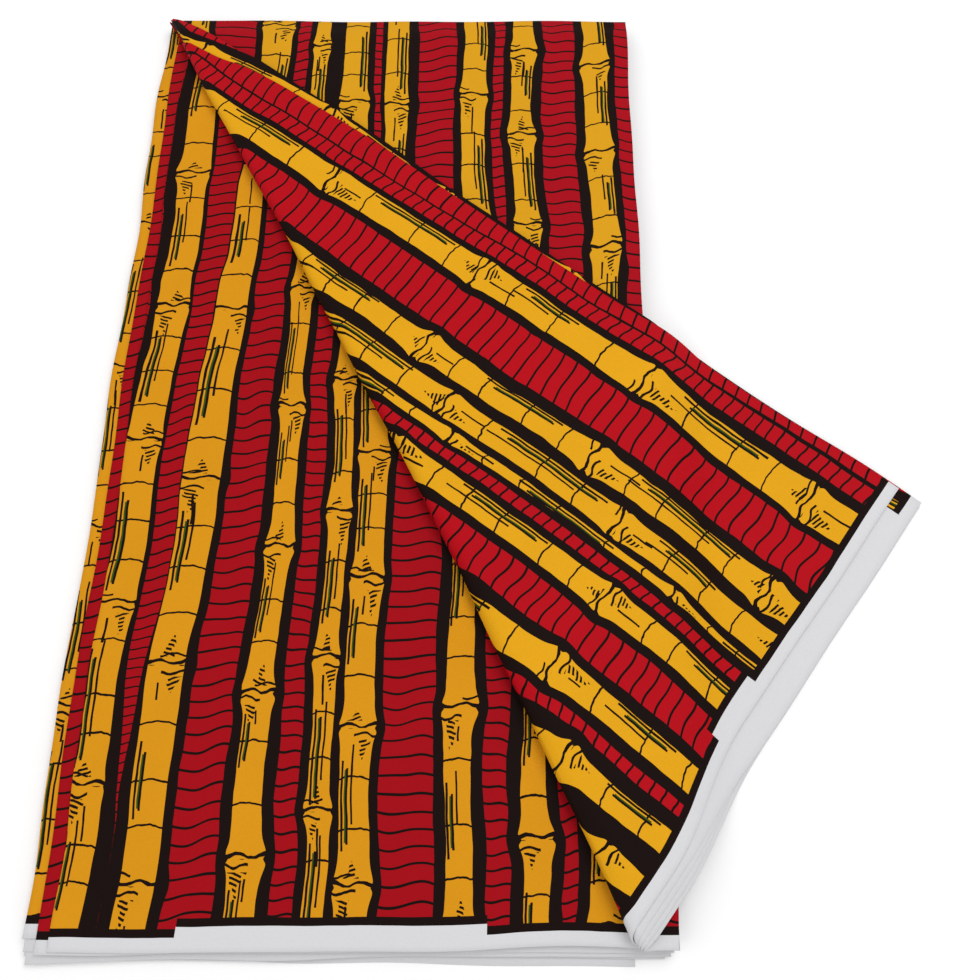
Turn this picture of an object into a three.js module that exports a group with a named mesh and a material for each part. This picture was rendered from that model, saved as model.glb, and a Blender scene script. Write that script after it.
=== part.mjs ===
// A length of printed cotton, folded in half and then into a flat panel, lying on a table.
// Its upper plies are turned back along a slanting fold, so that their left side points to the right.
// Millimetres, +Z up. The panel runs along Y, with its selvedges at the low end.
import * as THREE from "three";

// The cut, and the panel it is folded to
const CLOTH_WIDTH = 1176;
const PANEL_LENGTH = CLOTH_WIDTH / 2;
const PANEL_WIDTH = 316;

// Where the slanting fold meets the selvedges, measured from the panel's left side
const FOLD_END = 294;

// Thickness of each layer, and the gap that touching layers keep
const GAP = 0.3;
const LEAF = 1.0;
const LOWER_PLIES = 4.8;
const LOWER_PLY_COUNT = 6;
const TURNED_PLIES = 1.8;
const TURNED_PLY_COUNT = 2;

// Leaves of the lower stack, from the table up: where the left side starts at the top fold, how far
// it leans to the left for each millimetre, and how long the leaf is on its left and right sides
const LOWER_LEAVES = {
  plies: { start: 2.5, lean: 0.0215, left: 588, right: 585 },
  third: { start: 1, lean: 0.0215, left: 583, right: 584 },
  second: { start: 8.5, lean: 0.0225, left: 591, right: 586 },
  first: { start: 16, lean: 0.0225, left: 590, right: 587 },
};

// Shape of the slanting fold: it swells towards the selvedges, and bows to the right
const PUFF = 1.6;
const PUFF_REACH = 45;
const BOW = 7;
const BOW_REACH = 70;
const BOW_SKEW = 1.25;

// Leaves of the turned bundle: how far the turned side is drawn in at its middle, and how far its
// selvedge falls short of the inmost leaf's
const TURNED_LEAVES = {
  inner: { drawnIn: -6, short: 0 },
  plies: { drawnIn: -1, short: 5 },
  outer: { drawnIn: 9, short: 16 },
};
const DRAWN_SKEW = 0.8;
const SHORT_FROM = 45;
const SHORT_OVER = 70;
const SHORT_AT_FOLD = 0.2;

// Past the stack the turned plies sink to the table
const SINK_START = 2;
const SINK_LENGTH = 40;

// Nothing goes below the table
const TABLE_Z = 0;

// Rounding of a ply's edge seen from above, and how far each ply stands out past it
const EDGE_INSET = 0.35;
const RAGGED = [1.9, 0.4, 1.2, 0, 1.5, 0.6];

// Ridges fade out this far from an edge that lies on the cloth, over this length
const CLEAR_OF_EDGE = 14;
const FADE = 12;

const foldAngle = Math.atan(FOLD_END / PANEL_LENGTH);
const foldLength = Math.hypot(FOLD_END, PANEL_LENGTH);
const foldSin = Math.sin(foldAngle);
const foldCos = Math.cos(foldAngle);

// Heights of the layers' undersides
const thirdLeafZ = LOWER_PLIES + GAP;
const secondLeafZ = thirdLeafZ + LEAF + GAP;
const firstLeafZ = secondLeafZ + LEAF + GAP;
const bundleZ = firstLeafZ + LEAF + GAP;

// Radii of the nested layers round the fold, from the inside out
const innerRadius = GAP / 2;
const pliesRadius = innerRadius + LEAF + GAP;
const outerRadius = pliesRadius + TURNED_PLIES + GAP;
const foldRadius = outerRadius + LEAF;
const meanRadius = pliesRadius + TURNED_PLIES / 2;
const sinkDepth = bundleZ + foldRadius + innerRadius;

function smooth(x) {
  const c = Math.min(1, Math.max(0, x));
  return c * c * (3 - 2 * c);
}

function bell(x) {
  return Math.exp(-x * x);
}

// Soft ridges in the cloth. Each has its middle, the way it runs in degrees from +X, half its length
// and width, and its height.
const LOWER_RIDGES = [
  { x: 40, y: -330, turn: 84, reach: 190, width: 24, height: 0.7 },
  { x: 105, y: -450, turn: 88, reach: 150, width: 22, height: 0.6 },
  { x: 175, y: -520, turn: 93, reach: 120, width: 22, height: 0.7 },
];
const UPPER_RIDGES = [
  { x: 165, y: -45, turn: 88, reach: 60, width: 24, height: 0.6 },
  { x: 275, y: -95, turn: 92, reach: 110, width: 26, height: 0.7 },
];
const TURNED_RIDGES = [
  { x: 165, y: -150, turn: -36, reach: 130, width: 26, height: 0.9 },
  { x: 300, y: -280, turn: -36, reach: 120, width: 30, height: 0.9 },
  { x: 255, y: -385, turn: -44, reach: 110, width: 26, height: 0.9 },
];

function relief(ridges, x, y) {
  return ridges.reduce((sum, r) => {
    const turn = THREE.MathUtils.degToRad(r.turn);
    const along = (x - r.x) * Math.cos(turn) + (y - r.y) * Math.sin(turn);
    const across = (y - r.y) * Math.cos(turn) - (x - r.x) * Math.sin(turn);
    return sum + r.height * bell(along / r.reach) * bell(across / r.width);
  }, 0);
}

// A closed layer of cloth. rows are distances from the top fold, columns(t) the places across at that
// distance, and place(s, t, w) the point at height w in the layer. side(t) and end(s, t) draw its left
// side and its selvedge in. The rim is rounded once for each ply, and ragged moves the plies out.
function layer({ rows, columns, place, thickness, plies, side, end, ragged = [0] }) {
  const grid = rows.map((t) => columns(t).map((s) => ({ s, t })));
  const lastRow = grid.length - 1;
  const lastColumn = grid[0].length - 1;
  const positions = [];
  const index = [];

  const ended = (i, j, w) => {
    const { s, t } = grid[i][j];
    const point = place(s, t, w);
    if (!end || i < lastRow) return point;
    const before = grid[i - 1][j];
    return point.lerp(place(before.s, before.t, w), end(s, t) / (t - before.t));
  };
  const drawn = (i, j, w) => {
    const point = ended(i, j, w);
    if (!side || j > 0) return point;
    const step = grid[i][1].s - grid[i][0].s;
    return point.lerp(ended(i, 1, w), side(grid[i][0].t, step) / step);
  };
  const add = (i, j, w, by) => {
    const point = drawn(i, j, w);
    const sideways = j === 0 ? 1 : j === lastColumn ? -1 : 0;
    const lengthways = i === 0 ? 1 : i === lastRow ? -1 : 0;
    const moved = point.clone();
    if (sideways) moved.addScaledVector(point.clone().sub(drawn(i, j + sideways, w)).normalize(), by);
    if (lengthways) moved.addScaledVector(point.clone().sub(drawn(i + lengthways, j, w)).normalize(), by);
    moved.z = Math.max(moved.z, TABLE_Z);
    return positions.push(...moved.toArray()) / 3 - 1;
  };

  const face = (w) => grid.map((line, i) => line.map((_, j) => add(i, j, w, -EDGE_INSET)));
  const under = face(0);
  const top = face(thickness);
  for (let i = 0; i < lastRow; i++) {
    for (let j = 0; j < lastColumn; j++) {
      const [a, b, c, d] = [top[i][j], top[i][j + 1], top[i + 1][j + 1], top[i + 1][j]];
      index.push(a, d, c, a, c, b);
      const [e, f, g, h] = [under[i][j], under[i][j + 1], under[i + 1][j + 1], under[i + 1][j]];
      index.push(e, g, h, e, f, g);
    }
  }

  const border = [];
  for (let j = 0; j < lastColumn; j++) border.push([0, j]);
  for (let i = 0; i < lastRow; i++) border.push([i, lastColumn]);
  for (let j = lastColumn; j > 0; j--) border.push([lastRow, j]);
  for (let i = lastRow; i > 0; i--) border.push([i, 0]);
  const ply = thickness / plies;
  const loops = [border.map(([i, j]) => under[i][j])];
  for (let p = 0; p < plies; p++) {
    const by = ragged[p % ragged.length];
    for (const share of [0.25, 0.75]) {
      loops.push(border.map(([i, j]) => add(i, j, (p + share) * ply, by)));
    }
    if (p < plies - 1) loops.push(border.map(([i, j]) => add(i, j, (p + 1) * ply, -EDGE_INSET)));
  }
  loops.push(border.map(([i, j]) => top[i][j]));
  for (let k = 0; k < loops.length - 1; k++) {
    for (let m = 0; m < border.length; m++) {
      const n = (m + 1) % border.length;
      index.push(loops[k][m], loops[k + 1][m], loops[k + 1][n]);
      index.push(loops[k][m], loops[k + 1][n], loops[k][n]);
    }
  }
  const geometry = new THREE.BufferGeometry();
  geometry.setAttribute("position", new THREE.Float32BufferAttribute(positions, 3));
  geometry.setIndex(index);
  return geometry;
}

function evenSteps(from, to, count) {
  return Array.from({ length: count + 1 }, (_, k) => from + ((to - from) * k) / count);
}

// Places across a row, from a few breaks with a number of steps between each two. Steps stay
// wider than LEAST_STEP where the breaks run together.
function stepsBetween(breaks, counts) {
  const found = [breaks[0]];
  counts.forEach((count, k) => {
    const from = found[found.length - 1];
    const to = Math.max(breaks[k + 1], from + count * LEAST_STEP);
    found.push(...evenSteps(from, to, count).slice(1));
  });
  return found;
}

// Lower stack. A leaf's places run from its left side to the panel's right side.
function lowerLeaf(leaf, z, thickness, plies, ridges) {
  const place = (s, t, w) => {
    const left = leaf.start - leaf.lean * t;
    const across = s / PANEL_WIDTH;
    const length = leaf.left + (leaf.right - leaf.left) * across;
    const point = new THREE.Vector3(
      left + across * (PANEL_WIDTH - left),
      (-t * length) / PANEL_LENGTH,
      z + w,
    );
    const fromFold = -(point.x * foldCos + point.y * foldSin);
    const shown = smooth((fromFold - CLEAR_OF_EDGE) / FADE);
    point.z += ((relief(ridges, point.x, point.y) * w) / thickness) * shown;
    return point;
  };
  return layer({
    rows: evenSteps(0, PANEL_LENGTH, ridges.length ? 14 : 8),
    columns: () => evenSteps(0, PANEL_WIDTH, ridges.length ? 15 : 5),
    place,
    thickness,
    plies,
    ragged: plies > 1 ? RAGGED : undefined,
  });
}

// Turned bundle
function puffAt(along) {
  return PUFF * smooth(along / foldLength);
}

function bowAt(along) {
  const share = Math.min(1, Math.max(0, along / foldLength));
  return BOW * Math.sin(Math.PI * Math.pow(share, BOW_SKEW));
}

// Where a row of the flat cloth comes on to the nose of the fold, and where it leaves it
function noseLimits(t) {
  const along = t / foldCos;
  const centre = foldRadius + puffAt(along);
  const arc = Math.PI * (meanRadius + puffAt(along));
  const placeOf = (across) => (across + t * foldSin) / foldCos;
  return { top: placeOf(centre - arc), bottom: placeOf(centre) };
}

// The place of a point of the flat cloth, s across and t down, at a radius round the fold. The cloth
// lies flat, goes half way round the nose of the fold, and lies on itself.
function turnedPoint(s, t, radius, bulge = { upper: 0, turned: 0 }) {
  const along = s * foldSin + t * foldCos;
  const flat = s * foldCos - t * foldSin;
  const puff = puffAt(along);
  const bow = bowAt(along);
  const mean = meanRadius + puff;
  const centre = foldRadius + puff;
  const middleZ = bundleZ + centre;
  const round = radius + puff;
  const turned = centre - flat;
  const past = turned - Math.PI * mean;
  let across = flat + bow * bell((flat - centre) / BOW_REACH);
  let z = middleZ - round;
  if (past > 0) {
    across = centre + bow + past;
    z = middleZ + radius + puff * (2 * bell(past / PUFF_REACH) - 1);
  } else if (turned > 0) {
    const angle = turned / mean;
    across = centre + bow - round * Math.sin(angle);
    z = middleZ - round * Math.cos(angle);
  }
  const x = along * foldSin + across * foldCos;
  const y = across * foldSin - along * foldCos;
  if (past > 0) {
    z -= sinkDepth * smooth((x - PANEL_WIDTH - SINK_START) / SINK_LENGTH);
    z += bulge.turned * relief(TURNED_RIDGES, x, y) * smooth((past - CLEAR_OF_EDGE) / FADE);
  } else if (turned <= 0) {
    const beyondSide = x * Math.cos(2 * foldAngle) + y * Math.sin(2 * foldAngle);
    z += bulge.upper * relief(UPPER_RIDGES, x, y) * smooth((beyondSide - CLEAR_OF_EDGE) / FADE);
  }
  return new THREE.Vector3(x, y, z);
}

// The last place between two where a condition still holds, if it holds at the first
function lastWhere(holds, first, last) {
  if (!holds(first)) return first;
  let [low, high] = [first, last];
  while (high - low > CLOSE_ENOUGH) {
    const middle = (low + high) / 2;
    if (holds(middle)) low = middle;
    else high = middle;
  }
  return low;
}

// Grid of a turned leaf. Steps are counted from its turned side: beyond the slope, down the slope,
// over the stack, round the nose, and flat under the turned part.
const CLOSE_ENOUGH = 1e-6;
const LEAST_STEP = 0.5;
const STEPS = { side: 1, beyond: 2, slope: 5, over: 4, nose: 8, flat: 5 };
const SIDE_STEP = 12;
const SIDE_SHARE = 0.6;
const DRAWN_SHARE = 0.8;

// Rows near the corner, where the turned side leaves the stack, and at the selvedge
const CORNER_ROWS = [0, 8, 22, 50];
const LEAVING_LEAD = 9;
const LEAVING_REACH = 50;
const END_STEP = 30;

// Every turned leaf has the same grid, so that its facets nest in its neighbours'
function turnedColumns(t) {
  const nose = noseLimits(t);
  const pastX = (x) => (s) => turnedPoint(s, t, innerRadius).x > x;
  const slopeFoot = lastWhere(pastX(PANEL_WIDTH + SINK_START + SINK_LENGTH), 0, nose.top);
  const slopeHead = lastWhere(pastX(PANEL_WIDTH + SINK_START), 0, nose.top);
  const side = Math.min(SIDE_STEP, SIDE_SHARE * nose.top);
  return stepsBetween(
    [0, side, slopeFoot, slopeHead, nose.top, nose.bottom, PANEL_WIDTH],
    Object.values(STEPS),
  );
}

function turnedRows() {
  const onStack = (t) => turnedPoint(0, t, innerRadius).x < PANEL_WIDTH + SINK_START;
  const leaving = lastWhere(onStack, 0, PANEL_LENGTH);
  const corner = CORNER_ROWS[CORNER_ROWS.length - 1];
  return [
    ...CORNER_ROWS,
    ...evenSteps(corner, leaving - LEAVING_LEAD, 6).slice(1),
    ...evenSteps(leaving - LEAVING_LEAD, leaving + LEAVING_REACH, 9).slice(1),
    ...evenSteps(leaving + LEAVING_REACH, PANEL_LENGTH - END_STEP, 2).slice(1),
    PANEL_LENGTH,
  ];
}

function turnedLeaf({ leaf, radius, thickness, plies, bulge }) {
  return layer({
    rows: turnedRows(),
    columns: turnedColumns,
    // The fold turns the leaf over, so its lower face is the outer one
    place: (s, t, w) => turnedPoint(s, t, radius + thickness - w, bulge(w / thickness)),
    side: (t, step) => {
      const wanted = leaf.drawnIn * Math.sin(Math.PI * Math.pow(t / PANEL_LENGTH, DRAWN_SKEW));
      return Math.sign(wanted) * Math.min(Math.abs(wanted), DRAWN_SHARE * step);
    },
    end: (s, t) => {
      const turned = foldRadius - (s * foldCos - t * foldSin);
      const share = SHORT_AT_FOLD + (1 - SHORT_AT_FOLD) * smooth((turned - SHORT_FROM) / SHORT_OVER);
      return leaf.short * share * smooth(turned / SHORT_FROM);
    },
    thickness,
    plies,
  });
}

function addLayer(group, name, colour, geometry) {
  geometry.computeVertexNormals();
  const material = new THREE.MeshStandardMaterial({ color: colour, roughness: 0.75, metalness: 0 });
  const mesh = new THREE.Mesh(geometry, material);
  mesh.name = name;
  group.add(mesh);
}

const RED = 0xb41522;
const GOLD = 0xe0a02a;
const DARK_RED = 0x8f1a1c;

const cloth = new THREE.Group();
addLayer(
  cloth,
  "lower_plies",
  DARK_RED,
  lowerLeaf(LOWER_LEAVES.plies, 0, LOWER_PLIES, LOWER_PLY_COUNT, []),
);
addLayer(cloth, "lower_third_leaf", GOLD, lowerLeaf(LOWER_LEAVES.third, thirdLeafZ, LEAF, 1, []));
addLayer(cloth, "lower_second_leaf", RED, lowerLeaf(LOWER_LEAVES.second, secondLeafZ, LEAF, 1, []));
addLayer(
  cloth,
  "lower_first_leaf",
  GOLD,
  lowerLeaf(LOWER_LEAVES.first, firstLeafZ, LEAF, 1, LOWER_RIDGES),
);
addLayer(
  cloth,
  "turned_inner_leaf",
  RED,
  turnedLeaf({
    leaf: TURNED_LEAVES.inner,
    radius: innerRadius,
    thickness: LEAF,
    plies: 1,
    bulge: (share) => ({ upper: share, turned: 0 }),
  }),
);
addLayer(
  cloth,
  "turned_plies",
  DARK_RED,
  turnedLeaf({
    leaf: TURNED_LEAVES.plies,
    radius: pliesRadius,
    thickness: TURNED_PLIES,
    plies: TURNED_PLY_COUNT,
    bulge: () => ({ upper: 0, turned: 0 }),
  }),
);
addLayer(
  cloth,
  "turned_outer_leaf",
  GOLD,
  turnedLeaf({
    leaf: TURNED_LEAVES.outer,
    radius: outerRadius,
    thickness: LEAF,
    plies: 1,
    bulge: (share) => ({ upper: 0, turned: 1 - share }),
  }),
);

// The origin is under the middle of the whole, on the table
const reach = new THREE.Box3().setFromObject(cloth);
cloth.position.set(-(reach.min.x + reach.max.x) / 2, -(reach.min.y + reach.max.y) / 2, -reach.min.z);

export default cloth;
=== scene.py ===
import math
import bpy
import numpy as np
from mathutils import Matrix, Vector


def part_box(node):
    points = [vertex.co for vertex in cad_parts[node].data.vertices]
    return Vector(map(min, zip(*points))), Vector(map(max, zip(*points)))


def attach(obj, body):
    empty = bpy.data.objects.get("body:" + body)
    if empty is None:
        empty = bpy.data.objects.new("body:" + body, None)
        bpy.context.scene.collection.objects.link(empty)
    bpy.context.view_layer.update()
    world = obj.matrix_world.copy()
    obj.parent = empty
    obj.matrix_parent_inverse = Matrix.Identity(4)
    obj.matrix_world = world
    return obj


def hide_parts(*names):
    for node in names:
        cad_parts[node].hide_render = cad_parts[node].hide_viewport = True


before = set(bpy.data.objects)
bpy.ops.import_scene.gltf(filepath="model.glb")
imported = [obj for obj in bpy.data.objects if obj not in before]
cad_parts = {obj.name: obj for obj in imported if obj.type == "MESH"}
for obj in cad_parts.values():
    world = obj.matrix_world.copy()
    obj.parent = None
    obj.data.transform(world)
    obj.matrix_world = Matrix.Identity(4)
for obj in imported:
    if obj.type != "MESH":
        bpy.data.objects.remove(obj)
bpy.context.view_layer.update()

# A length of printed cotton, folded to a flat panel, its upper plies turned back along a slanting
# fold. Sizes are in millimetres in the panel's own frame: its top left corner is the origin, +X runs
# along the top fold, -Y towards the selvedges, and Z is 0 on the table. s is the place across the
# panel and t the distance from the top fold, both on the flat cloth.
MM = 0.001

PANEL_LENGTH = 588.0
PANEL_WIDTH = 316.0
FOLD_END = 294.0

# The top fold is pressed: how far it is drawn in, and the share of its height that it loses
TOP_DRAWN_IN = 1.5
TOP_PRESSED = 0.2

fold_angle = math.atan(FOLD_END / PANEL_LENGTH)
fold_length = math.hypot(FOLD_END, PANEL_LENGTH)
fold_sin = math.sin(fold_angle)
fold_cos = math.cos(fold_angle)

first_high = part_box("lower_first_leaf")[1]
corner = Vector((first_high.x - PANEL_WIDTH * MM, first_high.y, 0))


def smooth(x):
    c = np.clip(x, 0, 1)
    return c * c * (3 - 2 * c)


def bell(x):
    return np.exp(-x * x)


def sway(x, *waves):
    """Sum of slow sine waves, each an amplitude, a wavelength and a start."""
    return sum(a * np.sin(2 * math.pi * (x / length + start)) for a, length, start in waves)


# Soft ridges and troughs, given one by one. Each has its middle, the way it runs in degrees from +X,
# half its length and width, and its height.
LOWER_RIDGES = [
    (40, -330, 84, 190, 24, 0.7),
    (105, -450, 88, 150, 22, 0.6),
    (175, -520, 93, 120, 22, 0.7),
    (70, -210, 80, 90, 12, -0.25),
    (140, -400, 96, 110, 10, 0.25),
    (215, -540, 80, 60, 9, -0.25),
]
UPPER_RIDGES = [
    (165, -45, 88, 60, 24, 0.6),
    (275, -95, 92, 110, 26, 0.7),
    (225, -60, 84, 70, 10, -0.25),
]
TURNED_RIDGES = [
    (165, -150, -36, 130, 26, 0.9),
    (300, -280, -36, 120, 30, 0.9),
    (255, -385, -44, 110, 26, 0.9),
    (232, -262, 25, 40, 2.6, 1.2),
    (262, -240, 42, 40, 2.6, -0.7),
    (330, -345, 28, 46, 3.0, 1.0),
    (200, -215, -10, 34, 3.0, 0.9),
    (261, -219, -36.9, 170, 6.0, 0.8),
    (310, -420, -30, 60, 9, -0.35),
]


def relief(ridges, x, y):
    total = np.zeros_like(x)
    for middle_x, middle_y, degrees, reach, width, height in ridges:
        turn = math.radians(degrees)
        along = (x - middle_x) * math.cos(turn) + (y - middle_y) * math.sin(turn)
        across = (y - middle_y) * math.cos(turn) - (x - middle_x) * math.sin(turn)
        total = total + height * bell(along / reach) * bell(across / width)
    return total


# Mesh of a closed thin layer on a grid of the flat cloth
def layer_mesh(s, t, place, print_at, thickness):
    """Vertices, faces and print places of a layer. s and t are grids, place gives the point at height
    w in the layer, and print_at the place in the print."""
    rows, columns = s.shape
    inset = 0.4 * thickness
    top, bottom = place(s, t, thickness), place(s, t, 0)
    middle = place(s, t, thickness / 2)

    def drawn_in(points):
        moved = points.copy()
        for edge, inner in ((0, 1), (-1, -2)):
            way = middle[edge] - middle[inner]
            moved[edge] -= inset * way / np.linalg.norm(way, axis=-1, keepdims=True)
            way = middle[:, edge] - middle[:, inner]
            moved[:, edge] -= inset * way / np.linalg.norm(way, axis=-1, keepdims=True)
        return moved

    index = np.arange(rows * columns).reshape(rows, columns)
    border = np.concatenate([index[0, :-1], index[:-1, -1], index[-1, :0:-1], index[:0:-1, 0]])
    count = rows * columns
    rim = middle.reshape(-1, 3)[border]
    points = np.concatenate([drawn_in(top).reshape(-1, 3), drawn_in(bottom).reshape(-1, 3), rim])
    prints = print_at(s, t).reshape(-1, 2)
    prints = np.concatenate([prints, prints, prints[border]])

    a, b = index[:-1, :-1].ravel(), index[:-1, 1:].ravel()
    c, d = index[1:, 1:].ravel(), index[1:, :-1].ravel()
    upper = np.stack([a, d, c, b], axis=1)
    lower = np.stack([a, b, c, d], axis=1) + count
    rim_index = 2 * count + np.arange(len(border))
    following = np.roll(rim_index, -1)
    border_next = np.roll(border, -1)
    rim_up = np.stack([border, border_next, following, rim_index], axis=1)
    rim_down = np.stack([rim_index, following, border_next + count, border + count], axis=1)
    return points, np.concatenate([upper, lower, rim_up, rim_down]), prints


def cloth(name, layers, material):
    """One object from a few layers, each as layer_mesh gives it."""
    points, faces, prints = [], [], []
    start = 0
    for layer_points, layer_faces, layer_prints in layers:
        points.append(layer_points)
        faces.append(layer_faces + start)
        prints.append(layer_prints)
        start += len(layer_points)
    points, faces, prints = (np.concatenate(parts) for parts in (points, faces, prints))
    mesh = bpy.data.meshes.new(name)
    pressed = bell(points[:, 1] / 11)
    points[:, 1] -= TOP_DRAWN_IN * pressed
    points[:, 2] *= 1 - TOP_PRESSED * pressed
    x, y = points[:, 0].copy(), points[:, 1].copy()
    points[:, 0] += sway(y, (0.5, 190, 0.2), (0.3, 74, 0.6))
    points[:, 1] += sway(x, (0.5, 230, 0.1), (0.25, 90, 0.4))
    places = points * MM + np.array(corner)
    mesh.from_pydata(places.tolist(), [], faces.tolist())
    uv = mesh.uv_layers.new(name="print")
    loop_points = np.empty(len(mesh.loops), dtype=np.int32)
    mesh.loops.foreach_get("vertex_index", loop_points)
    uv.data.foreach_set("uv", (prints[loop_points] * MM).ravel())
    mesh.polygons.foreach_set("use_smooth", [True] * len(mesh.polygons))
    mesh.materials.append(material)
    mesh.update()
    thing = bpy.data.objects.new(name, mesh)
    bpy.context.scene.collection.objects.link(thing)
    return thing


# Printed cotton. The print's places come from the UV map, in metres: across the stripes, and from
# the middle fold to the selvedge. Sizes in the tables are millimetres.
class Shader:
    """Adds nodes to one material, with plain functions for the maths."""

    def __init__(self, material):
        self.tree = material.node_tree
        self.nodes = material.node_tree.nodes

    def join(self, value, socket):
        if isinstance(value, bpy.types.NodeSocket):
            self.tree.links.new(value, socket)
        else:
            socket.default_value = value

    def maths(self, operation, *values):
        node = self.nodes.new("ShaderNodeMath")
        node.operation = operation
        for value, socket in zip(values, node.inputs):
            self.join(value, socket)
        return node.outputs[0]

    def add(self, a, b):
        return self.maths("ADD", a, b)

    def subtract(self, a, b):
        return self.maths("SUBTRACT", a, b)

    def times(self, a, b):
        return self.maths("MULTIPLY", a, b)

    def divide(self, a, b):
        return self.maths("DIVIDE", a, b)

    def scaled(self, a, factor, offset):
        return self.maths("MULTIPLY_ADD", a, factor, offset)

    def size(self, a):
        return self.maths("ABSOLUTE", a)

    def below(self, a, b):
        return self.maths("LESS_THAN", a, b)

    def above(self, a, b):
        return self.maths("GREATER_THAN", a, b)

    def all_of(self, *values):
        total = values[0]
        for value in values[1:]:
            total = self.times(total, value)
        return total

    def any_of(self, *values):
        total = values[0]
        for value in values[1:]:
            total = self.maths("MAXIMUM", total, value)
        return total

    def choose(self, test, yes, no):
        """yes where test is 1, and no where it is 0."""
        return self.add(self.times(test, yes), self.times(self.subtract(1.0, test), no))

    def combine(self, x, y, z):
        node = self.nodes.new("ShaderNodeCombineXYZ")
        for value, socket in zip((x, y, z), node.inputs):
            self.join(value, socket)
        return node.outputs[0]

    def noise(self, x, y, z, detail=1.0):
        """Smooth noise from -1 to 1."""
        node = self.nodes.new("ShaderNodeTexNoise")
        node.inputs["Scale"].default_value = 1.0
        node.inputs["Detail"].default_value = detail
        self.join(self.combine(x, y, z), node.inputs["Vector"])
        return self.scaled(node.outputs["Fac"], 2.6, -1.3)

    def random(self, x, y, z):
        """Three random numbers from 0 to 1, the same for the same place."""
        node = self.nodes.new("ShaderNodeTexWhiteNoise")
        node.noise_dimensions = "3D"
        self.join(self.combine(x, y, z), node.inputs["Vector"])
        split = self.nodes.new("ShaderNodeSeparateColor")
        self.tree.links.new(node.outputs["Color"], split.inputs[0])
        return split.outputs[0], split.outputs[1], split.outputs[2]

    def mix(self, share, first, second):
        node = self.nodes.new("ShaderNodeMix")
        node.data_type = "RGBA"
        self.join(share, node.inputs["Factor"])
        for value, name in ((first, "A"), (second, "B")):
            socket = next(x for x in node.inputs if x.name == name and x.type == "RGBA")
            self.join(value, socket)
        return next(x for x in node.outputs if x.type == "RGBA")

    def lookup(self, place, rows):
        """Steps of four numbers along a place from 0 to 1."""
        node = self.nodes.new("ShaderNodeValToRGB")
        ramp = node.color_ramp
        ramp.interpolation = "CONSTANT"
        while len(ramp.elements) < len(rows):
            ramp.elements.new(0.5)
        for element, (start, values) in zip(ramp.elements, rows):
            element.position = start
            element.color = values
        self.join(place, node.inputs["Fac"])
        split = self.nodes.new("ShaderNodeSeparateColor")
        self.tree.links.new(node.outputs["Color"], split.inputs[0])
        return (*split.outputs[:3], node.outputs["Alpha"])


# Stripes of the print, left to right. Each is a red band or a cane, from its start to its end. A
# cane has its joints this far apart, the first at a place down it; fades is the share of its width
# that a stripe loses towards the selvedge.
def cane(start, end, joints_apart, first_joint, fades=0.0):
    return {
        "cane": 1.0,
        "start": start,
        "end": end,
        "apart": joints_apart,
        "first": first_joint,
        "fades": fades,
    }


def red(start, end, fades=0.0):
    return {**cane(start, end, 0.0, 0.0, fades), "cane": 0.0}


LOWER_STRIPES = [
    red(-24, -8),
    cane(-4, 14.5, 96, 30),
    red(17.0, 29.0, fades=1.0),
    cane(29.5, 47.5, 110, 8),
    red(53, 79),
    cane(85.5, 103, 85, 38),
    red(108.5, 120.5),
    cane(124.5, 137, 83, 24),
    cane(141, 158.5, 80, 2),
    red(163, 191),
    cane(196.5, 212.5, 108, 40),
    red(218, 230.5),
    cane(236.5, 251.5, 98, 45),
    red(257.5, 265.5),
    cane(272, 288, 104, 62),
    red(292, 312),
]
TURNED_STRIPES = [
    red(-14, 18.6, fades=0.04),
    red(19.6, 29.6, fades=0.15),
    cane(33.5, 52, 120, 72),
    red(57, 86.5),
    cane(93, 110, 122, 70),
    cane(116.5, 132.5, 117, 117),
    cane(136, 142.5, 152, 60, fades=0.35),
    red(146, 152.5),
    cane(156.5, 172, 152, 35),
    red(177, 197),
    cane(203, 219, 110, 46),
    red(224, 230.5),
    cane(237.5, 252.5, 96, 36),
    cane(264, 277, 88, 28),
    red(282, 306),
]
PLIES_STRIPES = [
    red(-24, -5.4),
    cane(0, 15, 98, 45),
    red(21, 46),
    cane(52, 68, 90, 12),
    red(74, 100),
    cane(106, 122, 104, 40),
    red(128, 160),
    cane(166, 184, 96, 66),
    red(190, 216),
    cane(222, 238, 88, 20),
    red(244, 270),
    cane(276, 292, 100, 50),
    red(298, 330),
]
UPPER_STRIPES = [
    red(-22, -9),
    cane(-5, 12, 90, 30),
    cane(17, 30, 84, 18),
    red(34, 62),
    cane(66, 86.5, 95, 10),
    red(90.5, 99),
    cane(103, 113.5, 84, 28),
    cane(123.5, 141, 98, 73),
    red(145, 149.5),
    cane(152.5, 168, 92, 75),
    red(174, 199),
    cane(204, 221, 100, 67),
    red(225, 232),
    cane(237.5, 253, 71, 24),
    red(258, 280),
    cane(285, 302, 70, 42),
    red(307, 330),
]

# Range of the print that a table covers, and the numbers that its values are divided by
PRINT_START = -24.0
PRINT_SPAN = 352.0
MOST_HALF = 32.0
MOST_APART = 200.0
MOST_SLACK = 16.0

# Red and gold. The lower leaves and the upper panel get darker copies of the turned side's red and gold:
# this is painted shade, since the cloth's colour is the same throughout
LOWER_SHADED_INKS = ((0.345, 0.0030, 0.0080, 1), (0.660, 0.280, 0.0080, 1))
UPPER_SHADED_INKS = ((0.362, 0.0030, 0.0095, 1), (0.660, 0.316, 0.0095, 1))
TURNED_INKS = ((0.432, 0.0032, 0.0090, 1), (0.725, 0.348, 0.0085, 1))
INK_BLACK = (0.0085, 0.0036, 0.0028, 1)
INK_GREEN = (0.034, 0.075, 0.008, 1)
BARE_COTTON = (0.655, 0.655, 0.672, 1)

SELVEDGE_WHITE = 7.0
SELVEDGE_LINE = 4.0
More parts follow.
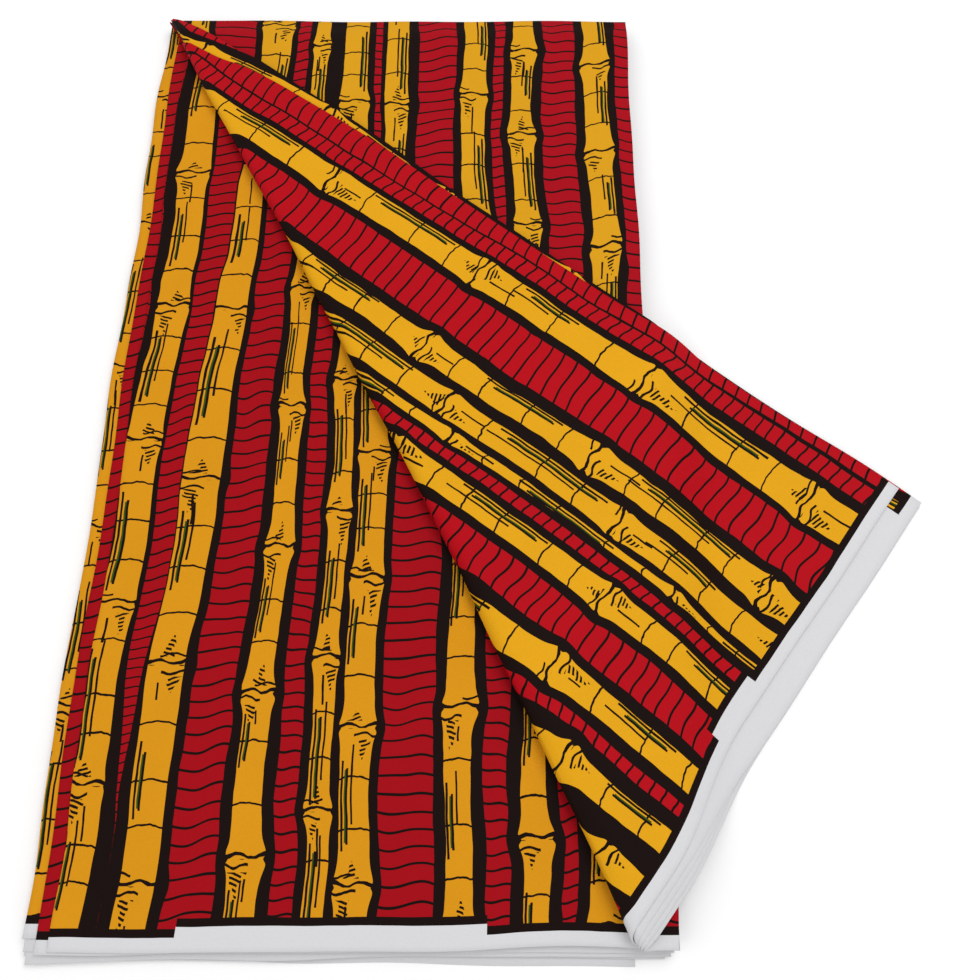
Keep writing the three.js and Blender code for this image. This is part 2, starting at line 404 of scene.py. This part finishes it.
# Bare boxes along a selvedge: start, end, and how far the line steps in
LOWER_BOXES = [(64.0, 220.0, 5.0)]
TURNED_BOXES = [(146.0, 185.0, 5.0)]
PLIES_BOXES = [(9.0, 640.0, 13.0)]
THREAD = 0.55

# Where the stripes that fade start to narrow, and where they are at their narrowest
FADE_START = 400.0
FADE_END = 540.0

# Lines inside a cane: the rings between joints, the line over a joint, the green between the first
# two long lines, the short line mid-way, and the dashes beside a joint, under it and over it. Halves
# are half widths, and DASH_HALF is a share of DASH_PITCH.
RING_SPACING = 27.0
RING_HALF = 0.55
OVER_LINE_AT = 5.4
OVER_LINE_HALF = 0.58
GREEN_AT = 3.95
GREEN_HALF = 0.40
MIDDLE_HALF = 0.55
MIDDLE_FROM = 9.0
DASH_PITCH = 2.4
DASH_HALF = 0.27
UNDER_FROM = 6.0
OVER_FROM = 4.2

# Long lines beside a cane's edge: place, half width, and how much later each starts and stops
LONG_LINES = (
    (2.2, 0.60, 0.00, 0.00),
    (4.9, 0.62, 0.05, -0.04),
    (7.4, 0.52, -0.05, -0.16),
)


def stripe_rows(stripes):
    """Steps of a stripe table: zones meet in the middle of each gap. The halves of a red band take
    the joints of the canes beside them, where the band is pinched."""
    first, second = [], []
    for k, stripe in enumerate(stripes):
        start, end = stripe["start"], stripe["end"]
        before = start - stripes[k - 1]["end"] if k else 8.0
        after = stripes[k + 1]["start"] - end if k + 1 < len(stripes) else 8.0
        place = 0.0 if k == 0 else (start - before / 2 - PRINT_START) / PRINT_SPAN
        centre = ((start + end) / 2 - PRINT_START) / PRINT_SPAN
        half = (end - start) / 2 / MOST_HALF
        slack = min(before, after) / MOST_SLACK
        seed = (k * 0.37 + 0.11) % 1
        first.append((place, (centre, half, slack, stripe["cane"])))
        beside = [(place, stripe)]
        if not stripe["cane"] and 0 < k < len(stripes) - 1:
            beside = [(place, stripes[k - 1]), (centre, stripes[k + 1])]
        for at, source in beside:
            apart = (source["apart"] or MOST_APART) / MOST_APART
            second.append((at, (apart, source["first"] / MOST_APART, seed, stripe["fades"])))
    return first, second


def cane_lines(sh, off, half, own, cell, share, apart, from_joint, down, hand):
    """Where the lines inside a cane are drawn, and where its green is."""
    pick_a, pick_b, pick_c = sh.random(cell, own, 0.5)
    fine = sh.noise(sh.times(off, 0.22), sh.times(down, 0.10), own)
    turn = sh.subtract(sh.times(sh.above(pick_a, 0.5), 2.0), 1.0)
    to_turn = sh.times(off, turn)

    # Wavy lines at a joint: one across it, heavier towards the sides, and a part of one on each side
    sweep = sh.times(fine, 0.8)
    heavy = sh.times(sh.size(sh.divide(off, half)), 0.45)
    wave_a = sh.add(sh.maths("SINE", sh.add(sh.times(off, 0.42), sh.times(pick_b, 6.3))), sweep)
    wave_b = sh.add(sh.maths("SINE", sh.add(sh.times(off, 0.5), sh.times(pick_c, 6.3))), sweep)
    upper = sh.below(sh.size(sh.subtract(sh.add(from_joint, 1.6), wave_a)), sh.add(heavy, 0.62))
    lower_at = sh.subtract(from_joint, sh.scaled(pick_b, 2.5, 2.2))
    lower = sh.below(sh.size(sh.subtract(lower_at, wave_b)), 0.70)
    lower = sh.all_of(lower, sh.above(to_turn, sh.times(half, -0.2)))
    over_line_off = sh.add(sh.add(from_joint, OVER_LINE_AT), sh.times(wave_b, 0.8))
    over_line = sh.below(sh.size(over_line_off), OVER_LINE_HALF)
    over_line = sh.all_of(
        over_line,
        sh.below(to_turn, sh.times(half, sh.scaled(pick_c, 0.9, -0.5))),
        sh.above(pick_b, 0.25),
    )

    # Thin rings between joints
    ring_count = sh.maths("FLOOR", sh.scaled(apart, 1 / RING_SPACING, 0.5))
    ring_place = sh.times(share, ring_count)
    ring_number = sh.maths("FLOOR", sh.add(ring_place, 0.5))
    ring_shift, _, _ = sh.random(ring_number, sh.add(cell, own), 6.1)
    hang = sh.times(sh.maths("POWER", sh.divide(off, half), 2.0), 1.6)
    from_ring = sh.subtract(sh.subtract(ring_place, ring_number), sh.scaled(ring_shift, 0.36, -0.18))
    from_ring = sh.times(from_ring, sh.divide(apart, ring_count))
    from_ring = sh.add(from_ring, sh.subtract(sh.times(fine, 0.9), hang))
    rings = sh.all_of(
        sh.below(sh.size(from_ring), RING_HALF),
        sh.above(ring_number, 0.5),
        sh.below(ring_number, sh.subtract(ring_count, 0.5)),
    )

    # Long lines beside one edge, the first two with green between them, and a short one mid-way
    from_edge = sh.add(sh.subtract(half, sh.times(off, hand)), sh.times(fine, 0.3))
    long_start, long_run, long_bit = sh.random(cell, own, 3.3)
    begin = sh.scaled(long_start, 0.24, 0.12)
    stop = sh.add(begin, sh.scaled(long_run, 0.30, 0.34))
    longs = []
    for at, thick, later, further in LONG_LINES:
        longs.append(sh.all_of(
            sh.below(sh.size(sh.subtract(from_edge, at)), thick),
            sh.above(share, sh.add(begin, later)),
            sh.below(share, sh.add(stop, further)),
        ))
    longs[2] = sh.all_of(longs[2], sh.above(long_bit, 0.3))
    green = sh.all_of(
        sh.below(sh.size(sh.subtract(from_edge, GREEN_AT)), GREEN_HALF),
        sh.above(share, sh.add(begin, 0.06)),
        sh.below(share, sh.subtract(stop, 0.05)),
    )
    mid_bit, mid_run, mid_place = sh.random(cell, own, 5.7)
    mid_at = sh.times(half, sh.scaled(mid_place, 0.5, -0.35))
    middle = sh.all_of(
        sh.below(sh.size(sh.subtract(sh.add(off, sh.times(fine, 0.4)), mid_at)), MIDDLE_HALF),
        sh.above(from_joint, MIDDLE_FROM),
        sh.below(from_joint, sh.scaled(mid_run, 14.0, 16.0)),
        sh.above(mid_bit, 0.3),
    )

    # Stacks of short dashes beside the joints, narrower away from them
    slanted = sh.add(from_joint, sh.add(sh.times(to_turn, 0.34), sh.times(fine, 0.6)))
    dash_place = sh.divide(slanted, DASH_PITCH)
    dash_number = sh.maths("FLOOR", dash_place)
    dash_long, dash_shift, _ = sh.random(dash_number, sh.add(cell, own), 9.7)
    dash = sh.below(sh.size(sh.subtract(sh.maths("FRACT", dash_place), 0.5)), DASH_HALF)
    dash_share = sh.scaled(dash_long, 0.6, 0.4)
    dash_centre = sh.scaled(dash_shift, 0.24, -0.12)
    under_run = sh.scaled(pick_c, 8.0, 8.0)
    under_left = sh.subtract(1.0, sh.divide(sh.subtract(from_joint, UNDER_FROM), under_run))
    under = sh.all_of(
        dash,
        sh.above(from_joint, UNDER_FROM),
        sh.below(
            sh.size(sh.subtract(to_turn, sh.times(half, sh.add(dash_centre, 0.45)))),
            sh.times(sh.times(half, dash_share), sh.times(under_left, 0.55)),
        ),
    )
    over_run = sh.scaled(pick_b, 8.0, 5.0)
    past_over = sh.subtract(sh.times(from_joint, -1.0), OVER_FROM)
    over_left = sh.subtract(1.0, sh.divide(past_over, over_run))
    over = sh.all_of(
        dash,
        sh.below(from_joint, -OVER_FROM),
        sh.below(
            sh.size(sh.add(to_turn, sh.times(half, sh.add(dash_centre, 0.1)))),
            sh.times(sh.times(half, dash_share), sh.times(over_left, 0.6)),
        ),
        sh.above(pick_c, 0.4),
    )
    return sh.any_of(upper, lower, over_line, rings, *longs, middle, under, over), green


def red_rungs(sh, off, half, own, seed, bent, down, rough):
    """Where the lines across a red band are drawn."""
    wave = sh.noise(sh.times(bent, 0.055), sh.times(down, 0.03), own, 0.0)
    slant = sh.times(sh.subtract(seed, 0.45), 0.5)
    bow = sh.maths("SINE", sh.divide(sh.times(off, 2.4), half))
    place = sh.add(sh.add(down, sh.times(off, slant)), sh.times(wave, 2.2))
    place = sh.add(place, sh.times(bow, sh.times(half, 0.10)))
    step = sh.maths("MINIMUM", sh.scaled(half, 0.14, 7.1), 9.0)
    rung = sh.times(sh.maths("PINGPONG", sh.divide(place, step), 0.5), step)
    return sh.below(rung, sh.scaled(rough, 0.12, 0.66))


def print_material(name, stripes, boxes, hand, inks):
    """The print of one stretch of the cloth. hand is the side of a cane that its long lines are on."""
    red_ink, gold_ink = inks
    material = bpy.data.materials.new(name)
    material.use_nodes = True
    sh = Shader(material)
    shader = sh.nodes["Principled BSDF"]

    # Places in millimetres, a little bent
    uv = sh.nodes.new("ShaderNodeUVMap")
    uv.uv_map = "print"
    split = sh.nodes.new("ShaderNodeSeparateXYZ")
    sh.tree.links.new(uv.outputs[0], split.inputs[0])
    across = sh.times(split.outputs[0], 1000.0)
    down = sh.times(split.outputs[1], 1000.0)
    bend = sh.noise(sh.times(across, 0.008), sh.times(down, 0.010), 3.7)
    kink = sh.noise(sh.times(across, 0.02), sh.times(down, 0.028), 8.2)
    bent = sh.add(across, sh.add(sh.times(bend, 2.3), sh.times(kink, 1.0)))

    # The stripe that a point lies in
    place = sh.divide(sh.subtract(bent, PRINT_START), PRINT_SPAN)
    first, second = stripe_rows(stripes)
    centre, half, slack, is_cane = sh.lookup(place, first)
    apart, first_joint, seed, fades = sh.lookup(place, second)
    centre = sh.scaled(centre, PRINT_SPAN, PRINT_START)
    half = sh.times(half, MOST_HALF)
    slack = sh.times(slack, MOST_SLACK)
    apart = sh.maths("MAXIMUM", sh.times(apart, MOST_APART), 20.0)
    first_joint = sh.times(first_joint, MOST_APART)
    own = sh.times(seed, 97.0)
    fade = sh.nodes.new("ShaderNodeMapRange")
    fade.interpolation_type = "SMOOTHSTEP"
    sh.join(down, fade.inputs["Value"])
    fade.inputs["From Min"].default_value = FADE_START
    fade.inputs["From Max"].default_value = FADE_END
    fade.inputs["To Min"].default_value = 0.0
    fade.inputs["To Max"].default_value = 1.0
    half = sh.times(half, sh.subtract(1.0, sh.times(fades, fade.outputs[0])))

    # Joints of a cane, and its axis, which turns a little at each
    jitter = sh.noise(sh.times(down, 0.009), sh.times(first_joint, 0.31), 1.3)
    length = sh.divide(sh.subtract(sh.scaled(jitter, 8.0, down), first_joint), apart)
    cell = sh.maths("FLOOR", length)
    share = sh.maths("FRACT", length)
    from_joint = sh.times(sh.subtract(share, sh.above(share, 0.5)), apart)
    near = sh.size(from_joint)
    lean_a, _, _ = sh.random(cell, own, 9.1)
    lean_b, _, _ = sh.random(sh.add(cell, 1.0), own, 9.1)
    lean = sh.subtract(sh.choose(share, lean_b, lean_a), 0.5)
    drift = sh.noise(sh.times(down, 0.017), own, 4.4)
    turn = sh.choose(is_cane, sh.times(lean, 0.4), sh.times(drift, 0.13))
    off = sh.subtract(sh.subtract(bent, centre), sh.times(slack, turn))
    side = sh.maths("SIGN", off)

    # Edges
    rough = sh.noise(sh.times(down, 0.05), sh.scaled(side, 3.1, own), 7.1, 2.0)
    flare = sh.maths("EXPONENT", sh.times(sh.maths("POWER", sh.divide(near, 7.0), 2.0), -1.0))
    pinch = sh.maths("EXPONENT", sh.times(sh.maths("POWER", sh.divide(near, 1.7), 2.0), -1.0))
    waist = sh.maths("SINE", sh.times(share, math.pi))
    shape = sh.subtract(sh.subtract(sh.times(flare, 0.44), sh.times(pinch, 0.34)), sh.times(waist, 0.20))
    knob = sh.times(flare, -0.30)
    swell = sh.times(slack, sh.choose(is_cane, shape, knob))
    width = sh.add(half, sh.add(swell, sh.times(sh.times(slack, 0.16), rough)))
    inside = sh.below(sh.size(off), width)

    # Ink colours, a little uneven
    rungs = sh.all_of(red_rungs(sh, off, half, own, seed, bent, down, rough), sh.subtract(1.0, is_cane))
    drawn, green = cane_lines(sh, off, half, own, cell, share, apart, from_joint, down, hand)
    drawn = sh.all_of(drawn, is_cane)
    ink = sh.mix(is_cane, red_ink, gold_ink)
    ink = sh.mix(sh.any_of(rungs, drawn), ink, INK_BLACK)
    ink = sh.mix(sh.all_of(green, is_cane), ink, INK_GREEN)
    colour = sh.mix(inside, INK_BLACK, ink)

    # Selvedge: a black line, then bare cotton. The line steps in round a bare box.
    step = 0.0
    for start, end, depth in boxes:
        in_box = sh.all_of(sh.above(across, start), sh.below(across, end))
        step = sh.add(step, sh.times(in_box, depth))
    wobble = sh.noise(sh.times(across, 0.05), sh.times(down, 0.05), 2.2)
    from_line = sh.subtract(sh.subtract(PANEL_LENGTH, down), sh.add(step, sh.times(wobble, 0.35)))
    colour = sh.mix(sh.below(from_line, SELVEDGE_LINE + SELVEDGE_WHITE), colour, INK_BLACK)
    colour = sh.mix(sh.below(from_line, SELVEDGE_WHITE), colour, BARE_COTTON)

    mottle = sh.noise(sh.times(across, 0.02), sh.times(down, 0.02), 0.9, 3.0)
    grain = sh.noise(sh.times(across, 0.9), sh.times(down, 0.9), 0.2, 2.0)
    shade = sh.add(sh.scaled(mottle, 0.05, 1.0), sh.times(grain, 0.045))
    shade = sh.choose(sh.below(from_line, SELVEDGE_WHITE), sh.scaled(grain, 0.03, 1.0), shade)
    toned = sh.nodes.new("ShaderNodeHueSaturation")
    sh.join(shade, toned.inputs["Value"])
    sh.join(colour, toned.inputs["Color"])
    sh.join(toned.outputs[0], shader.inputs["Base Color"])

    # Weave and slubs
    warp = sh.maths("SINE", sh.times(across, 2 * math.pi / THREAD))
    weft = sh.maths("SINE", sh.times(down, 2 * math.pi / THREAD))
    weave = sh.add(sh.times(warp, weft), sh.times(grain, 0.8))
    bump = sh.nodes.new("ShaderNodeBump")
    bump.inputs["Strength"].default_value = 0.22
    bump.inputs["Distance"].default_value = 0.00012
    sh.join(weave, bump.inputs["Height"])
    sh.join(bump.outputs[0], shader.inputs["Normal"])
    shader.inputs["Roughness"].default_value = 0.6
    shader.inputs["Specular IOR Level"].default_value = 0.05
    shader.inputs["Sheen Weight"].default_value = 0.006
    shader.inputs["Sheen Roughness"].default_value = 0.4
    return material


LEFT, RIGHT = -1.0, 1.0
# The lower leaves and the upper panel use the darker inks, which are painted shade
lower_print = print_material("printed_cotton_lower", LOWER_STRIPES, LOWER_BOXES, LEFT, LOWER_SHADED_INKS)
plies_print = print_material("printed_cotton_plies", PLIES_STRIPES, PLIES_BOXES, LEFT, TURNED_INKS)
turned_print = print_material("printed_cotton_turned", TURNED_STRIPES, TURNED_BOXES, LEFT, TURNED_INKS)
upper_print = print_material("printed_cotton_upper", UPPER_STRIPES, [], RIGHT, UPPER_SHADED_INKS)


# Lower stack. A leaf's places run from its left side to the panel's right side.
LEAF = 0.75

# A leaf lies this much above the height given for it
LEAF_RISE = 0.2
THIRD_Z, SECOND_Z, FIRST_Z, BUNDLE_Z = 5.1, 6.4, 7.7, 9.0

# How far a leaf's left side leans outwards, for each millimetre down the panel
UPPER_LEAN = 0.0225
LOWER_LEAN = 0.0215
FIRST_WAVES = [(0.5, 170, 0.1), (0.25, 61, 0.4)]
SECOND_WAVES = [(0.5, 210, 0.6), (0.25, 73, 0.2)]
THIRD_WAVES = [(0.5, 190, 0.3), (0.3, 67, 0.8)]


def lower_place(start, lean, left_length, right_length, z, waves, ridges=(), short_side=0.0):
    def place(s, t, w):
        left = start - lean * t + sway(t, *waves)
        across = s / PANEL_WIDTH
        length = left_length + (right_length - left_length) * across + sway(s, (0.5, 130, start / 9))
        x = left + across * (PANEL_WIDTH - short_side - left)
        y = -t * length / PANEL_LENGTH
        from_fold = -(x * fold_cos + y * fold_sin)
        shown = smooth((from_fold - 14) / 12)
        height = z + w + relief(ridges, x, y) * shown
        return np.stack([x, y, height], axis=-1)
    return place


def grid(columns, rows):
    return np.meshgrid(np.linspace(0, PANEL_WIDTH, columns), np.linspace(0, PANEL_LENGTH, rows))


def straight_print(offset, skew=0.0):
    def print_at(s, t):
        return np.stack([s + offset + skew * (t / PANEL_LENGTH), t], axis=-1)
    return print_at


def first_print(s, t):
    amount = np.minimum(21 * (560 - t) / 400, 22)
    shape = (0.39 + 0.21 * smooth(s / 11)) * (1 - smooth((s - 75) / 45)) + 0.4 * bell((s - 57) / 16)
    return np.stack([s - amount * shape, t], axis=-1)


first_leaf = cloth(
    "lower_first_cloth",
    [layer_mesh(
        *grid(106, 196),
        lower_place(16, UPPER_LEAN, 590, 587, FIRST_Z + LEAF_RISE, FIRST_WAVES, LOWER_RIDGES),
        first_print,
        LEAF,
    )],
    lower_print,
)
second_leaf = cloth(
    "lower_second_cloth",
    [layer_mesh(
        *grid(80, 150),
        lower_place(8.5, UPPER_LEAN, 591, 586, SECOND_Z + LEAF_RISE, SECOND_WAVES),
        straight_print(293.0, 4.0),
        LEAF,
    )],
    lower_print,
)
third_leaf = cloth(
    "lower_third_cloth",
    [layer_mesh(
        *grid(80, 150),
        lower_place(1, LOWER_LEAN, 583, 584, THIRD_Z + LEAF_RISE, THIRD_WAVES),
        straight_print(273.5, 2.0),
        LEAF,
    )],
    lower_print,
)

PLY = 0.6
STACK_PLIES = [
    # underside, left start, left and right length, right side drawn in, print offset
    (0.02, 2.2, 591, 597, 21.0, 20.0),
    (0.70, 3.4, 594, 590, 2.0, 120.0),
    (1.38, 1.6, 589, 593, 6.0, 64.0),
    (2.06, 4.0, 595, 589, 0.5, 172.0),
    (2.74, 2.0, 591, 592, 3.0, 92.0),
    (3.42, 3.0, 595, 588, 0.0, 34.0),
    (4.10, 1.8, 589, 590, 1.5, 150.0),
]
stack = cloth(
    "lower_plies_cloth",
    [
        layer_mesh(
            *grid(40, 74),
            lower_place(
                start,
                LOWER_LEAN,
                left,
                right,
                z,
                [(0.7, 160 + 20 * start, start / 4)],
                short_side=drawn,
            ),
            straight_print(offset, 3.0),
            PLY,
        )
        for z, start, left, right, drawn, offset in STACK_PLIES
    ],
    lower_print,
)

# Turned bundle: nested layers round the slanting fold
FOLD_RADIUS = 4.55
MEAN_RADIUS = 2.35
SINK_DEPTH = 13.7

# The fold stands rounder towards the selvedges, and bows out in the middle, by at most this much
MOST_PUFF = 1.6
MOST_BOW = 7


def turned_place(s, t, radius, upper=0.0, turned_relief=0.0):
    along = s * fold_sin + t * fold_cos
    flat = s * fold_cos - t * fold_sin
    share = np.clip(along / fold_length, 0, 1)
    puff = MOST_PUFF * smooth(along / fold_length)
    bow = MOST_BOW * np.sin(math.pi * share ** 1.25)
    mean = MEAN_RADIUS + puff
    centre = FOLD_RADIUS + puff
    middle_z = BUNDLE_Z + centre
    round_radius = radius + puff
    turned = centre - flat
    past = turned - math.pi * mean
    angle = np.clip(turned / mean, 0, math.pi)
    across = np.where(
        past > 0,
        centre + bow + past,
        np.where(
            turned > 0,
            centre + bow - round_radius * np.sin(angle),
            flat + bow * bell((flat - centre) / 70),
        ),
    )
    x = along * fold_sin + across * fold_cos
    y = across * fold_sin - along * fold_cos
    over_z = middle_z + radius + puff * (2 * bell(past / 45) - 1)
    over_z = over_z - SINK_DEPTH * smooth((x - PANEL_WIDTH - 2) / 40)
    over_z = over_z + turned_relief * relief(TURNED_RIDGES, x, y) * smooth((past - 14) / 12)
    beyond_side = x * math.cos(2 * fold_angle) + y * math.sin(2 * fold_angle)
    under_z = middle_z - round_radius
    under_z = under_z + upper * relief(UPPER_RIDGES, x, y) * smooth((beyond_side - 14) / 12)
    nose_z = middle_z - round_radius * np.cos(angle)
    z = np.where(past > 0, over_z, np.where(turned > 0, nose_z, under_z))
    return np.stack([x, y, z], axis=-1)


def turned_grid(steps_across, rows, drawn):
    """Grid of a turned leaf, closer round the nose. drawn(t) draws its turned side in."""
    t_line = np.linspace(0, 1, rows)
    t_line = PANEL_LENGTH * (t_line * 0.92 + 0.08 * t_line ** 2)
    rows_s = []
    for t in t_line:
        along = t / fold_cos
        centre = FOLD_RADIUS + MOST_PUFF * float(smooth(along / fold_length))
        arc = math.pi * (centre - FOLD_RADIUS + MEAN_RADIUS)
        top = (centre - arc + t * fold_sin) / fold_cos
        bottom = (centre + t * fold_sin) / fold_cos
        start = min(drawn(t), bottom - 3)
        breaks = [start, max(top, start + 1), max(bottom, start + 2), PANEL_WIDTH]
        # columns are shared out the same way in each row, so that the grid stays regular
        counts = [int(steps_across * part) for part in (0.42, 0.14, 0.44)]
        line = [start]
        for low, high, count in zip(breaks[:-1], breaks[1:], counts):
            line.extend(np.linspace(low, high, count + 1)[1:])
        rows_s.append(line)
    s = np.array(rows_s)
    return s, np.repeat(t_line[:, None], s.shape[1], axis=1)


def turned_layer(radius, thickness, drawn, short, steps, print_at, upper=0.0, relief_share=0.0):
    s, t = turned_grid(*steps, drawn)
    t = t - short(s) * smooth(t / PANEL_LENGTH / 0.5)

    def shifted_print(s, t):
        return print_at(s, t + short(s))

    def place(s, t, w):
        rise = w / thickness
        return turned_place(s, t, radius + thickness - w, upper * rise, relief_share * (1 - rise))
    return layer_mesh(s, t, place, shifted_print, thickness)


def selvedge_short(at_nose, beyond):
    """How far a layer stops short of the panel's length, at the fold's nose and on the turned side.
    Below 0 it runs past it."""
    def amount(s):
        turned = FOLD_RADIUS - (s * fold_cos - PANEL_LENGTH * fold_sin)
        spread = smooth((turned - 40) / 80)
        return (at_nose + (beyond - at_nose) * spread) * smooth((turned + 6) / 22)
    return amount


def corner_cut(t):
    """How far a layer's side is drawn in at the top corner, which is blunt."""
    return 4.5 * max(0.0, 1 - t / 14) ** 2


def band_edge(t):
    """How far the side of the outermost ply is drawn in, or runs out where it is below 0."""
    out = 2.8 + 2.2 * smooth((t - 55) / 25) - 5.0 * smooth((t - 130) / 120)
    back = 5.5 * smooth((t - 180) / 170) - 3.2 * smooth((t - 405) / 35) - 1.2 * smooth((t - 500) / 60)
    return back - out


def inner_side(t):
    return corner_cut(t) + float(band_edge(t)) + 1.2


def ply_side(step):
    def side(t):
        return corner_cut(t) + float(band_edge(t)) + step
    return side


def outer_side(t):
    strip = 2.8 + 8.5 * (1 - smooth((t - 10) / 110)) + 5.0 * (1 - smooth((t - 100) / 140))
    return float(band_edge(t) + strip - 1.6 * smooth((t - 380) / 60))


def edge_print(s, t):
    beside = band_edge(t) + 1.6 + 1.2 * smooth((t - 230) / 40) + 3.0 * smooth((t - 500) / 50)
    at_tip = 6.5 + 6.0 * (1 - smooth(t / 9)) + 2.8 * smooth((t - 10) / 15)
    gold_from = np.maximum(np.minimum(13.0 - 0.16 * t, at_tip), beside)
    return np.stack([s - gold_from, t], axis=-1)


def outer_print(s, t):
    amount = 9.5 * smooth((t - 330) / 200) + 2.5 * (1 - smooth((t - 40) / 70))
    return np.stack([s + amount * (1 - smooth((s - 2) / 54)), t], axis=-1)


inner_cloth = cloth(
    "turned_inner_cloth",
    [turned_layer(
        0.15, 0.85, inner_side, selvedge_short(-5, 0), (120, 196), straight_print(0.0), upper=1.0,
    )],
    upper_print,
)
plies_cloth = cloth(
    "turned_plies_cloth",
    [
        turned_layer(1.45, 0.5, ply_side(0.9), selvedge_short(-2.8, 2.4), (90, 140), edge_print),
        turned_layer(2.05, 0.5, ply_side(0.5), selvedge_short(-0.2, 1.6), (90, 140), edge_print),
        turned_layer(2.65, 0.5, ply_side(0.0), selvedge_short(2.6, 0.8), (90, 140), edge_print),
    ],
    plies_print,
)
outer_cloth = cloth(
    "turned_outer_cloth",
    [turned_layer(
        3.7, 0.85, outer_side, selvedge_short(6.6, 16), (130, 220), outer_print, relief_share=1.0,
    )],
    turned_print,
)

PIECES = [
    (stack, "lower_plies", len(STACK_PLIES), []),
    (third_leaf, "lower_third_leaf", 1, ["lower_plies_cloth"]),
    (second_leaf, "lower_second_leaf", 1, ["lower_third_cloth"]),
    (first_leaf, "lower_first_leaf", 1, ["lower_second_cloth"]),
    (inner_cloth, "turned_inner_leaf", 1, ["turned_plies_cloth"]),
    (plies_cloth, "turned_plies", 3, ["turned_outer_cloth"]),
    (outer_cloth, "turned_outer_leaf", 1, ["lower_first_cloth"]),
]
for piece, node, layers, under in PIECES:
    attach(piece, "root")
    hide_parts(node)


# Floor
FLOOR_REACH = 3.0
FLOOR_Z = -0.0002
FLOOR_WHITE = (0.96, 0.96, 0.96, 1)
floor_sides = ((-1, -1), (1, -1), (1, 1), (-1, 1))
floor_mesh = bpy.data.meshes.new("floor")
floor_mesh.from_pydata(
    [(x * FLOOR_REACH, y * FLOOR_REACH, FLOOR_Z) for x, y in floor_sides],
    [],
    [(0, 1, 2, 3)],
)
floor = bpy.data.objects.new("floor", floor_mesh)
bpy.context.scene.collection.objects.link(floor)
floor_material = bpy.data.materials.new("floor")
floor_material.use_nodes = True
floor_shader = floor_material.node_tree.nodes["Principled BSDF"]
floor_shader.inputs["Base Color"].default_value = FLOOR_WHITE
floor_shader.inputs["Roughness"].default_value = 0.9
floor_shader.inputs["Specular IOR Level"].default_value = 0.1
floor_mesh.materials.append(floor_material)

# Light
WORLD_STRENGTH = 0.66
world = bpy.data.worlds.new("studio")
world.use_nodes = True
world.node_tree.nodes["Background"].inputs["Color"].default_value = (1, 1, 1, 1)
world.node_tree.nodes["Background"].inputs["Strength"].default_value = WORLD_STRENGTH
bpy.context.scene.world = world


def area_light(name, position, target, size, power):
    data = bpy.data.lights.new(name, "AREA")
    data.shape = "SQUARE"
    data.size = size
    data.energy = power
    light = bpy.data.objects.new(name, data)
    light.location = position
    light.rotation_euler = (Vector(target) - Vector(position)).to_track_quat("-Z", "Y").to_euler()
    bpy.context.scene.collection.objects.link(light)


area_light("key", position=(0.6, 0.45, 1.7), target=(0, 0, 0), size=1.1, power=15.0)
area_light("fill", position=(-1.1, -0.6, 1.3), target=(0, 0, 0), size=1.4, power=5.0)

# Camera
CAMERA_AT = Vector((0.2226, -0.3421, 0))
CAMERA_AWAY = 0.5978
CAMERA_EL = math.radians(70)
CAMERA_AZ = math.radians(-0.57)
CAMERA_ROLL = math.radians(0.58)
PHOTO_SIZE = 980
FOCAL_PIXELS = 1019.4
SENSOR_WIDTH = 36.0

back = Vector((
    math.sin(CAMERA_AZ) * math.cos(CAMERA_EL),
    -math.cos(CAMERA_AZ) * math.cos(CAMERA_EL),
    math.sin(CAMERA_EL),
))
right = (-back).cross(Vector((0, 0, 1))).normalized()
up = right.cross(-back)
rolled_right = math.cos(CAMERA_ROLL) * right + math.sin(CAMERA_ROLL) * up
rolled_up = math.cos(CAMERA_ROLL) * up - math.sin(CAMERA_ROLL) * right
camera_data = bpy.data.cameras.new("camera")
camera_data.sensor_fit = "HORIZONTAL"
camera_data.sensor_width = SENSOR_WIDTH
camera_data.lens = FOCAL_PIXELS / PHOTO_SIZE * SENSOR_WIDTH
camera_data.clip_start = 0.01
camera = bpy.data.objects.new("camera", camera_data)
turn = Matrix((rolled_right, rolled_up, back)).transposed().to_4x4()
camera.matrix_world = Matrix.Translation(corner + CAMERA_AT + CAMERA_AWAY * back) @ turn
bpy.context.scene.collection.objects.link(camera)
bpy.context.scene.camera = camera
bpy.context.scene.view_settings.view_transform = "Standard"
